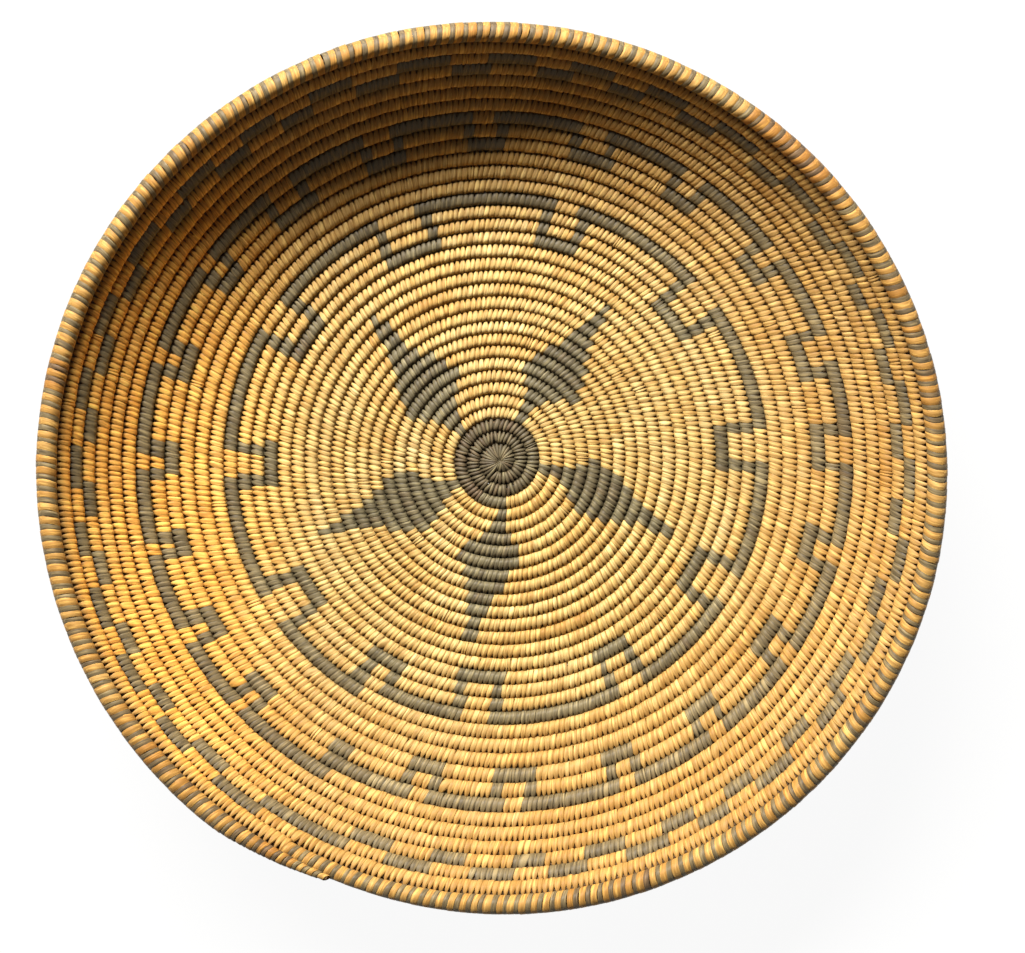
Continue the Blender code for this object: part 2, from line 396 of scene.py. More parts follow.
@dataclass
class Coil:
    """The one curve that every piece follows, with the sizes that the frame was cut to.

    A place on it is the number of turns that the coil has made there. Row n runs from turn n - 1
    to turn n, counter-clockwise as seen looking into the bowl.
    """

    base_rows: int = 12
    flare_rows: int = 9
    wall_rows: int = 12
    base_pitch: float = 5.35 * MM
    flare_pitch: float = 5.78 * MM
    wall_pitch: float = 6.35 * MM
    pitch_change: float = 2.0
    rim_slope: float = math.radians(63.5)
    steepening: float = 1.55
    thickness: float = 6.2 * MM
    seam_gap: float = 0.45 * MM
    rim_width: float = 7.0 * MM
    rim_thickness: float = 7.8 * MM
    rim_swell: float = 0.08
    rim_tail: float = 0.02
    rim_taper: float = 0.045
    rim_tip: float = 0.3
    start_angle: float = math.radians(START_DEGREES)
    start_swell: float = 0.3
    start_tip: float = 0.4
    ovalness: float = 0.008
    oval_angle: float = math.radians(-18.0)
    steps: int = 96
    turns_beyond: float = 1.5
    turns: np.ndarray = field(init=False)
    radii: np.ndarray = field(init=False)
    heights: np.ndarray = field(init=False)

    def __post_init__(self) -> None:
        """Adds up the wall's curve from the middle to above the rim."""
        count = int(math.ceil((self.end + self.turns_beyond) * self.steps))
        self.turns = np.arange(count + 1) / self.steps
        middles = (self.turns[1:] + self.turns[:-1]) / 2
        step = self.pitch(middles) / self.steps
        slope = self.slope(middles)
        self.radii = sum_up(step * np.cos(slope))
        self.heights = sum_up(step * np.sin(slope)) + self.thickness / 2

    @property
    def last_row(self) -> int:
        """The number of the last row below the rim."""
        return self.base_rows + self.flare_rows + self.wall_rows

    @property
    def end(self) -> float:
        """The turn at which the rim's tail ends."""
        return self.last_row + 1 + self.rim_tail

    def slope(self, turn: np.ndarray) -> np.ndarray:
        """The wall's slope above level at some turns."""
        rise = (np.asarray(turn, float) - self.base_rows) / (self.last_row - self.base_rows)
        return self.rim_slope * np.clip(rise, 0.0, 1.0) ** self.steepening

    def pitch(self, turn: np.ndarray) -> np.ndarray:
        """The row's width from seam to seam at some turns."""
        flare_end = self.base_rows + self.flare_rows
        return read_graph(turn, (
            (self.base_rows, self.base_pitch),
            (self.base_rows + self.pitch_change, self.flare_pitch),
            (flare_end, self.flare_pitch), (flare_end + self.pitch_change, self.wall_pitch)))

    def wall(self, turn: np.ndarray) -> np.ndarray:
        """Radius and height of the seams' curve at some turns, one row each."""
        return np.stack([np.interp(turn, self.turns, self.radii),
                         np.interp(turn, self.turns, self.heights)], axis=-1)

    def sizes(self, turn: np.ndarray) -> tuple[np.ndarray, np.ndarray, np.ndarray]:
        """The coil's section at some turns.

        Args:
            turn: Places on the coil.

        Returns:
            Half its full width, half its full thickness, and how far a tip has shrunk it.
        """
        turn = np.asarray(turn, float)
        width = (np.linalg.norm(self.wall(turn + 1) - self.wall(turn), axis=-1)
                 - self.seam_gap) / 2
        swell = np.clip((turn - self.last_row - self.rim_tail) / self.rim_swell, 0.0, 1.0)
        width = width + (self.rim_width / 2 - width) * swell
        thickness = self.thickness / 2 + (self.rim_thickness - self.thickness) / 2 * swell
        scale = read_graph(turn, ((0.0, self.start_tip), (self.start_swell, 1.0),
                                  (self.end - self.rim_taper, 1.0), (self.end, self.rim_tip)))
        return width, thickness, scale

    def stand(self, turn: np.ndarray, beside: float | np.ndarray = 0.0,
              above: float | np.ndarray = 0.0) -> tuple[np.ndarray, np.ndarray, np.ndarray]:
        """Stands points on the coil.

        Args:
            turn: Places on the coil.
            beside: How far outwards along the wall from the section's middle.
            above: How far into the bowl from it.

        Returns:
            The points, the direction along the wall outwards, and the direction into the bowl.
        """
        turn = np.asarray(turn, float)
        width, thickness, scale = self.sizes(turn)
        at_start, in_rim = turn < self.start_swell, turn >= self.last_row
        shift = np.where(at_start, 1.0, np.where(in_rim, 0.0, 0.5))
        slope = self.slope(turn + shift)
        along = np.stack([np.cos(slope), np.sin(slope)], axis=-1)
        across = np.stack([-np.sin(slope), np.cos(slope)], axis=-1)
        seat = self.seam_gap / 2 + width * scale
        offset = np.where(at_start, -seat, np.where(in_rim, seat, 0.0))
        sink = np.where(at_start, thickness * (1 - scale), 0.0)
        middle = (self.wall(turn + shift) + along * (offset + beside)[:, None]
                  + across * (above - sink)[:, None])
        angle = self.angle(turn)
        stretch = self.ovalness * middle[:, 0] / self.wall(self.last_row)[0]
        middle[:, 0] *= 1 + stretch * np.cos(2 * (angle - self.oval_angle))
        outward = outwards(angle)
        return tuple(np.concatenate([outward[:, :2] * flat[:, :1], flat[:, 1:]], axis=1)
                     for flat in (middle, along, across))

    def angle(self, turn: np.ndarray) -> np.ndarray:
        """The angle round the axis at some turns, counter-clockwise from +X."""
        return self.start_angle + 2 * math.pi * np.asarray(turn, float)

    def lengths(self, turn: np.ndarray) -> np.ndarray:
        """How far some turns are from the first of them, along the coil."""
        return sum_up(np.linalg.norm(np.diff(self.stand(turn)[0], axis=0), axis=1))


# The pattern


@dataclass(frozen=True)
class Star:
    """A dark disc in the middle with five petals round it.

    A petal is given by its angles at the three places, its root, its widest and its tip, and
    by its width in degrees.
    """

    disc_rows: int = 3
    disc_tail: Range = (START_DEGREES, 270.0)
    row_middle: float = 0.5
    places: Triple = (4.0, 8.0, 15.4)
    profile: Graph = (
        (3.5, 0.18), (4.0, 0.2), (5.0, 0.31), (6.0, 0.49), (7.0, 0.76), (8.0, 1.0), (9.0, 0.76),
        (10.0, 0.56), (11.0, 0.37), (12.0, 0.22), (13.0, 0.16), (14.0, 0.12), (15.4, 0.07))
    petals: tuple[Numbers, ...] = (
        (64.0, 56.8, 55.0, 39.0), (141.0, 134.0, 131.6, 42.0), (209.0, 204.0, 201.8, 40.0),
        (272.0, 263.5, 259.7, 37.0), (348.0, 342.5, 335.9, 37.0))

    def covers(self, row: int, turn: float, angle: float) -> bool:
        """Says whether the star is dark at a stitch.

        Args:
            row: The stitch's row.
            turn: Its place on the coil.
            angle: Its angle in degrees, counter-clockwise from +X.

        Returns:
            Whether it is dark.
        """
        in_tail = row == self.disc_rows + 1 and self.disc_tail[0] <= angle < self.disc_tail[1]
        if row <= self.disc_rows or in_tail:
            return True
        place = turn + self.row_middle
        if not self.profile[0][0] <= place <= self.places[-1]:
            return False
        share = read_graph(place, self.profile) / 2
        middles = ((np.interp(place, self.places, line), width) for *line, width in self.petals)
        return any(abs((angle - middle + 180.0) % 360.0 - 180.0) < share * width
                   for middle, width in middles)


@dataclass(frozen=True)
class Meander:
    """A ring of battlements: inner bars and outer bars in turn, joined by short sides."""

    inner_row: int
    outer_row: int
    side_width: float
    inner_bars: Graph
    crossing: int
    crossing_width: float = 20.0

    def covers(self, row: int, turn: float, angle: float) -> bool:
        """Says whether the ring is dark at a stitch.

        Args:
            row: The stitch's row.
            turn: Its place on the coil.
            angle: Its angle in degrees, counter-clockwise from +X.

        Returns:
            Whether it is dark.
        """
        for i, (start, end) in enumerate(self.inner_bars):
            following = self.inner_bars[(i + 1) % len(self.inner_bars)][0]
            lift = int(i == self.crossing and 0.0 <= angle - START_DEGREES < self.crossing_width)
            side = end - self.side_width
            if row == self.inner_row + lift:
                dark = within(angle, start, end)
            elif row == self.outer_row:
                dark = within(angle, side, following + self.side_width)
            else:
                dark = self.inner_row + lift < row < self.outer_row and (
                    within(angle, side, end)
                    or not lift and within(angle, start, start + self.side_width))
            if dark:
                return True
        return False


@dataclass(frozen=True)
class BarRing:
    """A ring of short bars, on one row and on the next in turn."""

    inner_row: int
    middles: Numbers
    inner_share: float = 0.46

    def covers(self, row: int, turn: float, angle: float) -> bool:
        """Says whether the ring is dark at a stitch.

        Args:
            row: The stitch's row.
            turn: Its place on the coil.
            angle: Its angle in degrees, counter-clockwise from +X.

        Returns:
            Whether it is dark.
        """
        ring = (self.middles[-1], *self.middles, self.middles[0])
        inner = any(within(angle, middle - (middle - before) % 360.0 * self.inner_share / 2,
                           middle + (after - middle) % 360.0 * self.inner_share / 2)
                    for before, middle, after in zip(ring, ring[1:], ring[2:]))
        return row == self.inner_row + (not inner)


@dataclass
class Pattern:
    """The whole pattern: which stitches are sewn with devil's claw."""

    star: Star = Star()
    rings: tuple[Meander | BarRing, ...] = (
        Meander(18, 21, 2.75, (
            (357.6, 9.5), (32.6, 46.1), (69.4, 80.6), (105.4, 119.3), (141.1, 153.2),
            (175.3, 186.0), (206.9, 219.6), (235.5, 245.0), (259.0, 270.5), (295.1, 305.6),
            (324.5, 336.7)), 7),
        Meander(25, 27, 1.9, (
            (358.6, 6.7), (15.2, 23.4), (34.1, 40.9), (52.1, 59.1), (69.3, 77.6), (88.5, 95.9),
            (106.5, 114.2), (124.4, 132.4), (142.2, 148.1), (158.7, 165.4), (176.4, 182.2),
            (191.4, 196.4), (205.6, 211.8), (220.3, 225.8), (238.7, 243.0), (253.1, 259.2),
            (268.7, 276.3), (288.8, 295.2), (306.1, 312.5), (323.4, 330.3), (341.9, 348.6)), 14),
        BarRing(31, (
            3.7, 14.6, 25.3, 35.3, 48.0, 60.1, 70.8, 81.6, 93.3, 107.5, 119.5, 130.5, 141.7,
            152.7, 164.0, 174.1, 184.7, 194.3, 204.4, 214.4, 224.8, 237.9, 251.6, 263.1, 274.9,
            285.8, 297.6, 307.1, 318.7, 329.3, 341.3, 353.2)))

    def dark(self, row: int, turn: float, angle: float) -> bool:
        """Whether a stitch is dark: inside the star or on a ring."""
        return any(figure.covers(row, turn, angle) for figure in (self.star, *self.rings))


# The sewing


@dataclass(frozen=True)
class Stitch:
    """One splint's loop round the coil, before it is set in place.

    Its own axes are +X clockwise round the basket, +Y outwards along the wall, +Z into the bowl.
    The loop starts at its outer end, climbs from a narrow tail to a blunt head that stands over
    the row below, bites into the seam there, and goes back underneath as wide as its place, so
    that nothing shows through. The outline, the widths and the painted shade go round it point by
    point; the tail, the ends and the under corners are painted darker, as shade.
    Its forms vary by shares of what is usual, and in their lean by degrees.
    """

    TAIL, HEAD = slice(1, 4), slice(5, 8)

    half_width: float = 1.0 * MM
    half_length: float = 1.0 * MM
    half_depth: float = 1.0 * MM
    radius: float = 1.0
    slope: float = 0.0
    inner_limit: float = 1.5
    lean: float = math.radians(15.0)
    crown: float = 0.22 * MM
    under: float = 0.2 * MM
    shoulder: float = 0.6
    drift: float = 0.15
    least_fan: float = 0.12
    sharp_angle: float = math.radians(75.0)
    outline: Graph = (
        (1.08, 0.0), (0.98, 0.16), (0.85, 0.4), (0.49, 0.73), (0.0, 0.96), (-0.5, 1.03),
        (-0.98, 0.93), (-1.19, 0.58), (-1.5, 0.0),
        (-0.95, -0.5), (-0.6, -0.88), (0.0, -1.0), (0.6, -0.88), (0.95, -0.5))
    widths: Numbers = (1.6, 0.42, 0.52, 0.78, 1.04, 1.1, 1.1, 1.04, 1.9) + (1.2,) * 5
    # Painted shade by point, from 1 (none) to 0 (full): the tail, the ends and the underside near
    # them.
    clear_of_shade: Numbers = (0.0, 0.0, 0.2, 0.5, 0.85, 1.0, 1.0, 0.9, 0.0, 0.2, 1.0, 1.0, 1.0, 0.2)
    vary_tail: Range = (0.85, 1.12)
    vary_head: Range = (0.97, 1.05)
    vary_reach: Range = (0.9, 1.06)
    vary_lean: Range = (-3.0, 3.0)
    vary_crown: Range = (0.7, 1.3)
    vary_shoulder: Range = (0.85, 1.2)

    def mesh(self, name: str, number: int) -> bpy.types.Mesh:
        """Makes the loop as a closed band.

        Args:
            name: The mesh's name.
            number: A number that sets its fibres apart from other forms'.

        Returns:
            The mesh, with its "fibre" attribute and its "unshaded" one, which sets its painted
            shade.
        """
        spots = np.array(self.outline)
        spots[:, 0] = np.maximum(spots[:, 0], -self.inner_limit)
        spots *= (self.half_length, self.half_depth - self.crown)
        runs = np.roll(spots, -1, axis=0) - np.roll(spots, 1, axis=0)
        normals = np.stack([runs[:, 1], -runs[:, 0]], axis=-1)
        normals /= np.linalg.norm(normals, axis=-1, keepdims=True)
        travelled = sum_up(np.linalg.norm(np.diff(spots, axis=0), axis=-1)) / MM
        section = ((-1.0, -self.under), (-self.shoulder, self.crown),
                   (self.shoulder, self.crown), (1.0, -self.under))
        corners, fibres, worn = [], [], []
        for spot, normal, far, share, clear_of_shade in zip(spots, normals, travelled, self.widths,
                                                  self.clear_of_shade):
            half = self.half_width * share
            middle = spot[0] * math.tan(self.lean) - self.half_width * self.drift * 2 * (1 - share)
            fan = max(self.least_fan, 1 + spot[0] * math.cos(self.slope) / self.radius)
            for side, lift in section:
                y, z = spot + normal * lift
                corners.append(((middle + side * half) * fan, y, z))
                fibres.append((side * self.half_width / MM, far, number))
                # The under corners take the full painted shade, as in the seams.
                worn.append(clear_of_shade if lift > 0 else 0.0)
        ring = np.arange(len(corners)).reshape(len(spots), len(section))
        after = np.roll(ring, -1, axis=0)
        faces = np.stack([ring, after, np.roll(after, -1, axis=1), np.roll(ring, -1, axis=1)],
                         axis=-1).reshape(-1, 4)
        mesh = make_mesh(name, corners, [], faces.tolist(), fibre=fibres, worn=worn)
        build = bmesh.new()
        build.from_mesh(mesh)
        bmesh.ops.recalc_face_normals(build, faces=build.faces)
        build.to_mesh(mesh)
        build.free()
        mesh.shade_smooth()
        mesh.set_sharp_from_angle(angle=self.sharp_angle)
        return mesh

    def forms(self, name: str, seed: int) -> bpy.types.Collection:
        """Makes a few unlike forms of the stitch: fuller, flatter, more pointed or more leaning.

        Args:
            name: The start of their names.
            seed: The random seed.

        Returns:
            A collection of them, outside the scene.
        """
        pick = np.random.default_rng(seed).uniform
        made = bpy.data.collections.new(f"{name}_stitches")
        for number in range(FORMS):
            widths, outline = np.array(self.widths), np.array(self.outline)
            widths[self.TAIL] *= pick(*self.vary_tail)
            widths[self.HEAD] *= pick(*self.vary_head)
            outline[self.HEAD, 0] *= pick(*self.vary_reach)
            form = replace(self, outline=tuple(map(tuple, outline)), widths=tuple(widths),
                           lean=self.lean + math.radians(pick(*self.vary_lean)),
                           crown=self.crown * pick(*self.vary_crown),
                           shoulder=self.shoulder * pick(*self.vary_shoulder))
            form_name = f"{name}_stitch_{number}"
            made.objects.link(bpy.data.objects.new(form_name, form.mesh(form_name, number)))
        return made


def clear(made: bpy.types.Collection) -> None:
    """Deletes a collection and the objects in it."""
    bpy.data.batch_remove([*made.objects, made])


class Recipe(Bench):
    """A Geometry Nodes tree built in code, with named inputs."""

    RANDOM_SOCKETS = {"FLOAT": (2, 3, 1), "INT": (4, 5, 2)}
    SEED_STEP = 101

    def __init__(self, name: str, inputs: dict[str, str]) -> None:
        """Starts the tree.

        Args:
            name: The tree's name.
            inputs: Its inputs after the geometry, each with its type.
        """
        super().__init__(bpy.data.node_groups.new(name, "GeometryNodeTree"))
        self.seeds = itertools.count(self.SEED_STEP, self.SEED_STEP)
        face = self.tree.interface
        self.ids = {socket: face.new_socket(socket, socket_type=f"NodeSocket{kind}").identifier
                    for socket, kind in {"Geometry": "Geometry", **inputs}.items()}
        face.new_socket("Geometry", in_out="OUTPUT", socket_type="NodeSocketGeometry")
        self.given = {name: self.node("NodeGroupInput", output=name) for name in self.ids}

    def draw(self, low: Any, high: Any, kind: str = "FLOAT") -> Signal:
        """A random number for each stitch from low to high, FLOAT or INT."""
        least, most, output = self.RANDOM_SOCKETS[kind]
        return self.node("FunctionNodeRandomValue", {
            least: low, most: high, "Seed": self.given["Seed"] + next(self.seeds)},
            output, data_type=kind)

    def end(self, geometry: Signal) -> None:
        """Realises the instances, sets the material and ends the tree."""
        dressed = self.node("GeometryNodeSetMaterial", {
            0: self.node("GeometryNodeRealizeInstances", {0: geometry}),
            "Material": self.given["Material"]})
        self.node("NodeGroupOutput", {0: dressed})

    def make(self, name: str, start: bpy.types.Mesh, values: dict[str, Any], node: str,
             slot: str) -> bpy.types.Object:
        """Runs the tree on a mesh, keeps the result as a plain mesh, and hands the piece over.

        Args:
            name: The piece's name.
            start: The mesh that the tree starts from.
            values: The tree's inputs by name.
            node: The frame's node that the piece stands for.
            slot: Its material slot.

        Returns:
            The finished piece, at the origin.
        """
        piece = show(name, start)
        modifier = piece.modifiers.new(self.tree.name, "NODES")
        modifier.node_group = self.tree
        for socket, value in values.items():
            modifier[self.ids[socket]] = value
        graph = bpy.context.evaluated_depsgraph_get()
        mesh = bpy.data.meshes.new_from_object(piece.evaluated_get(graph),
                                               preserve_all_data_layers=True, depsgraph=graph)
        piece.modifiers.remove(modifier)
        piece.data = mesh
        mesh.name = name
        bpy.data.meshes.remove(start)
        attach(piece, BODY)
        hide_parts(node)
        log.info("%s: %d faces", name, len(mesh.polygons))
        return piece


def sewing_recipe() -> Recipe:
    """Builds the tree that sets a stitch on every point of a row.

    Returns:
        The recipe. Its points carry "up_wall", "into_bowl", "size" and "tone".
    """
    recipe = Recipe("sew_row", {
        "Stitches": "Collection", "Width Spread": "Float", "Turn Spread": "Float",
        "Lift Spread": "Float", "Seed": "Int", "Material": "Material"})
    given = recipe.given

    def read(name: str) -> Signal:
        """Reads a vector from the points."""
        return recipe.node("GeometryNodeInputNamedAttribute", {"Name": name}, "Attribute",
                           data_type="FLOAT_VECTOR")

    def spread(name: str) -> Signal:
        """A random number for each stitch, as far from 0 as the named input says."""
        return recipe.draw(given[name] * -1.0, given[name])

    stitches = recipe.node("GeometryNodeCollectionInfo", {
        "Collection": given["Stitches"], "Separate Children": True, "Reset Children": True},
        transform_space="ORIGINAL")
    stand = recipe.node("FunctionNodeAxesToRotation", {
        "Primary Axis": read("into_bowl"), "Secondary Axis": read("up_wall")},
        primary_axis="Z", secondary_axis="Y")
    tilt = recipe.node("ShaderNodeCombineXYZ", {
        0: spread("Lift Spread"), 1: spread("Lift Spread"), 2: spread("Turn Spread")})
    turned = recipe.node("FunctionNodeRotateRotation", {
        0: stand, 1: recipe.node("FunctionNodeEulerToRotation", {0: tilt})},
        rotation_space="LOCAL")
    jitter = recipe.node("ShaderNodeCombineXYZ", {
        0: spread("Width Spread") + 1.0, 1: 1.0, 2: spread("Lift Spread") + 1.0})
    size = recipe.node("ShaderNodeVectorMath", {0: read("size"), 1: jitter}, operation="MULTIPLY")
    recipe.end(recipe.node("GeometryNodeInstanceOnPoints", {
        "Points": given["Geometry"], "Instance": stitches, "Pick Instance": True,
        "Instance Index": recipe.draw(0, FORM_DRAWS, "INT"), "Rotation": turned, "Scale": size}))
    return recipe


def rod_recipe() -> Recipe:
    """Builds the tree that lays a round rod along each line.

    Returns:
        The recipe.
    """
    recipe = Recipe("lay_rods", {
        "Rod Radius": "Float", "Rod Sides": "Int", "Material": "Material"})
    given = recipe.given
    lines = recipe.node("GeometryNodeMeshToCurve", {"Mesh": given["Geometry"]})
    ring = recipe.node("GeometryNodeCurvePrimitiveCircle", {
        "Resolution": given["Rod Sides"], "Radius": given["Rod Radius"]})
    recipe.end(recipe.node("GeometryNodeCurveToMesh", {
        "Curve": lines, "Profile Curve": ring, "Fill Caps": True}))
    return recipe


@dataclass
class Sewing:
    """All the stitching: rows of single stitches, in separate pieces for each row and splint.

    Widths and spacings are in millimetres. Where a field is a graph, it runs over the rows.
    """

    LAY_SEED, TONE_SEED, FORM_SEED, TREE_SEED = 7000, 14000, 21000, 700

    coil: Coil
    pattern: Pattern
    recipe: Recipe
    materials: dict[Splint, bpy.types.Material]
    samples: int = 400
    spacing: Graph = ((1, 1.5), (2, 1.7), (3, 1.9), (5, 2.15), (10, 2.27), (18, 2.37), (33, 2.41))
    least_stitches: int = 4
    width_scatter: float = 0.08
    width_limits: Range = (0.75, 1.3)
    wide_chance: float = 0.012
    wide_share: float = 1.4
    split_chance: float = 0.006
    width_spread: float = 0.04
    lift_spread: float = 0.035
    turn_spread: Graph = ((1, 0.05), (2, 0.16), (3, 0.16), (4, 0.05))
    usual_tones: Graph = ((3, 0.8), (4, 0.6), (15, 0.58), (20, 0.43), (33, 0.42), (34, 0.72))
    strip_stitches: tuple[int, int] = (5, 22)
    strip_spread: float = 0.1
    tone_spread: float = 0.09
    start_rows: int = 3
    start_stitch: Stitch = Stitch(crown=0.4 * MM, under=0.3 * MM, shoulder=0.42,
                                  lean=math.radians(12.0))
    first_stitch: Stitch = replace(start_stitch, inner_limit=1.0, lean=math.radians(4.0))
    hub_radius: float = 0.4 * MM
    wall_widths: Numbers = (1.6, 0.38, 0.52, 0.84, 1.08, 1.12, 1.1, 1.04, 1.9) + (1.2,) * 5
    wall_share: Graph = ((10, 0.0), (20, 1.0))
    wall_flatness: float = 0.2
    dark_flatness: float = 0.4
    rim_spacing: float = 2.46
    rim_pace: Graph = (
        (0.0, 0.94), (0.16, 0.98), (0.32, 0.98), (0.42, 1.04), (0.6, 1.05), (0.7, 1.08),
        (0.78, 0.98), (1.0, 0.94))
    rim_light_share: float = 0.58
    rim_stitch: Stitch = Stitch(
        crown=0.1 * MM, under=0.12 * MM, shoulder=0.8, lean=math.radians(17.0), drift=0.0,
        outline=((1.02, 0.0), (0.94, 0.42), (0.75, 0.76), (0.42, 0.96), (0.0, 1.02),
                 (-0.42, 0.96), (-0.75, 0.76), (-0.98, 0.42), (-1.2, 0.0),
                 (-0.94, -0.42), (-0.62, -0.85), (0.0, -1.02), (0.62, -0.85), (0.94, -0.42)),
        widths=(1.0,) * 14,
        # Painted shade on the rim's outer edge and underside, where the surface turns away from
        # the light.
        clear_of_shade=(0.75, 0.9, 1.0, 1.0, 1.0, 1.0, 1.0, 0.6, 0.0, 0.6, 0.8, 0.7, 0.45, 0.5))
    rim_overlap: float = 1.1
    rim_narrowing: float = 0.15

    def usual_width(self, row: int) -> float:
        """The usual width of a row's stitches, in metres."""
        rim = row > self.coil.last_row
        return (self.rim_spacing if rim else read_graph(row, self.spacing)) * MM

    def lay_row(self, row: int) -> tuple[np.ndarray, np.ndarray]:
        """Shares a row out among its stitches.

        Args:
            row: The row's number; the rim is one past the last.

        Returns:
            The stitches' places on the coil, and how wide each is beside the usual one.
        """
        rim = row > self.coil.last_row
        turns = np.linspace(row - 1.0, self.coil.end if rim else row, self.samples)
        lengths = self.coil.lengths(turns)
        usual = self.usual_width(row)
        count = max(self.least_stitches, int(round(lengths[-1] / usual)))
        rng = np.random.default_rng(self.LAY_SEED + row)
        shares = np.clip(rng.normal(1.0, self.width_scatter, count), *self.width_limits)
        if rim:
            light = self.rim_light_share * 2
            shares *= np.where(np.arange(count) % 2 == 0, light, 2 - light)
            shares *= read_graph(np.arange(count) / count, self.rim_pace)
        else:
            shares[rng.random(count) < self.wide_chance] *= self.wide_share
            split = rng.random(count) < self.split_chance
            shares = np.repeat(np.where(split, shares / 2, shares), np.where(split, 2, 1))
        edges = sum_up(shares) / shares.sum() * lengths[-1]
        places = np.interp((edges[1:] + edges[:-1]) / 2, lengths, turns)
        kept = count - 1 if rim else None
        return places[:kept], np.diff(edges)[:kept] / usual

    def tones(self, row: int, count: int) -> np.ndarray:
        """Gives the stitches their tones: a strip of splint has its own, and each stitch strays.

        Args:
            row: The row's number.
            count: The number of its stitches.

        Returns:
            Tones from 0 to 1.
        """
        rng = np.random.default_rng(self.TONE_SEED + row)
        lengths = rng.integers(*self.strip_stitches, count)
        usual = read_graph(row, self.usual_tones)
        strips = np.repeat(rng.normal(usual, self.strip_spread, count), lengths)[:count]
        return np.clip(strips + rng.normal(0.0, self.tone_spread, count), 0.0, 1.0)

    def seat(self, row: int, places: np.ndarray) -> tuple[np.ndarray, ...]:
        """Finds where a row's stitches sit. The first row's stitches all run in to the middle.

        Args:
            row: The row's number.
            places: The stitches' places on the coil.

        Returns:
            Their middles, their directions up the wall and into the bowl, and half their length
            and depth.
        """
        points, up_wall, into_bowl = self.coil.stand(places)
        width, thickness, scale = self.coil.sizes(places)
        if row > 1:
            return points, up_wall, into_bowl, width * scale, thickness * scale
        outward = outwards(self.coil.angle(places))
        outer = self.coil.wall(places + 1)[:, 0] - self.coil.seam_gap / 2
        points = outward * ((outer + self.hub_radius) / 2)[:, None]
        points[:, 2] = thickness
        upright = np.tile((0.0, 0.0, 1.0), (len(places), 1))
        return points, outward, upright, (outer - self.hub_radius) / 2, thickness

    def usual_stitch(self, row: int, **sizes: float) -> Stitch:
        """Shapes a row's usual stitch: loose on the disc, plump on the base and flatter above.

        Args:
            row: The row's number.
            sizes: Its half_length, half_depth and radius.

        Returns:
            The stitch.
        """
        sizes |= {"slope": float(self.coil.slope(row)), "half_width": self.usual_width(row) / 2}
        if row > self.coil.last_row:
            sizes["half_width"] *= self.rim_overlap
            return replace(self.rim_stitch, **sizes)
        stitch = (self.first_stitch if row == 1 else
                  self.start_stitch if row <= self.start_rows else Stitch())
        change = read_graph(row, self.wall_share)
        widths = np.array(stitch.widths) * (1 - change) + np.array(self.wall_widths) * change
        flat = 1 - change * self.wall_flatness
        return replace(stitch, widths=tuple(widths), crown=stitch.crown * flat,
                       under=stitch.under * flat, **sizes)

    def sew_row(self, row: int) -> None:
        """Sews one row, as a piece for each splint in it.

        Args:
            row: The row's number; the rim is one past the last.
        """
        rim = row > self.coil.last_row
        name = "rim" if rim else f"row_{row:02d}"
        places, shares = self.lay_row(row)
        points, up_wall, into_bowl, length, depth = self.seat(row, places)
        middle = len(places) // 2
        stitch = self.usual_stitch(
            row, half_length=float(length[middle]), half_depth=float(depth[middle]),
            radius=float(np.hypot(points[middle, 0], points[middle, 1])))
        angles = np.degrees(self.coil.angle(places)) % 360.0
        dark = (np.arange(len(places)) % 2 == 1 if rim else
                np.array([self.pattern.dark(row, *at) for at in zip(places, angles)]))
        narrowing = self.coil.sizes(places)[2] ** self.rim_narrowing if rim else 1.0
        size = np.stack([shares * narrowing, length / stitch.half_length,
                         depth / stitch.half_depth], axis=-1)
        tones = self.tones(row, len(places))
        for splint in Splint:
            chosen = dark == (splint is Splint.DEVILS_CLAW)
            if not chosen.any():
                continue
            band = float(shares[chosen].mean()) if rim else 1.0
            flat = (1 - self.dark_flatness
                    if splint is Splint.DEVILS_CLAW and row > self.start_rows else 1.0)
            forms = replace(stitch, half_width=stitch.half_width * band, crown=stitch.crown * flat,
                            under=stitch.under * flat).forms(name, self.FORM_SEED + row)
            start = make_mesh(
                "places", points[chosen].tolist(), [], [], up_wall=up_wall[chosen],
                into_bowl=into_bowl[chosen], size=size[chosen] / (band, 1.0, 1.0),
                tone=tones[chosen])
            self.recipe.make(f"{name}_{splint.name.lower()}", start, {
                "Stitches": forms, "Width Spread": self.width_spread,
                "Turn Spread": float(read_graph(row, self.turn_spread)),
                "Lift Spread": self.lift_spread, "Seed": self.TREE_SEED + row,
                "Material": self.materials[splint]},
                "rim_stitching" if rim else f"stitching_row_{row:02d}", splint.value)
            clear(forms)

    def sew(self) -> None:
        """Sews every row and the rim."""
        for row in range(1, self.coil.last_row + 2):
            self.sew_row(row)


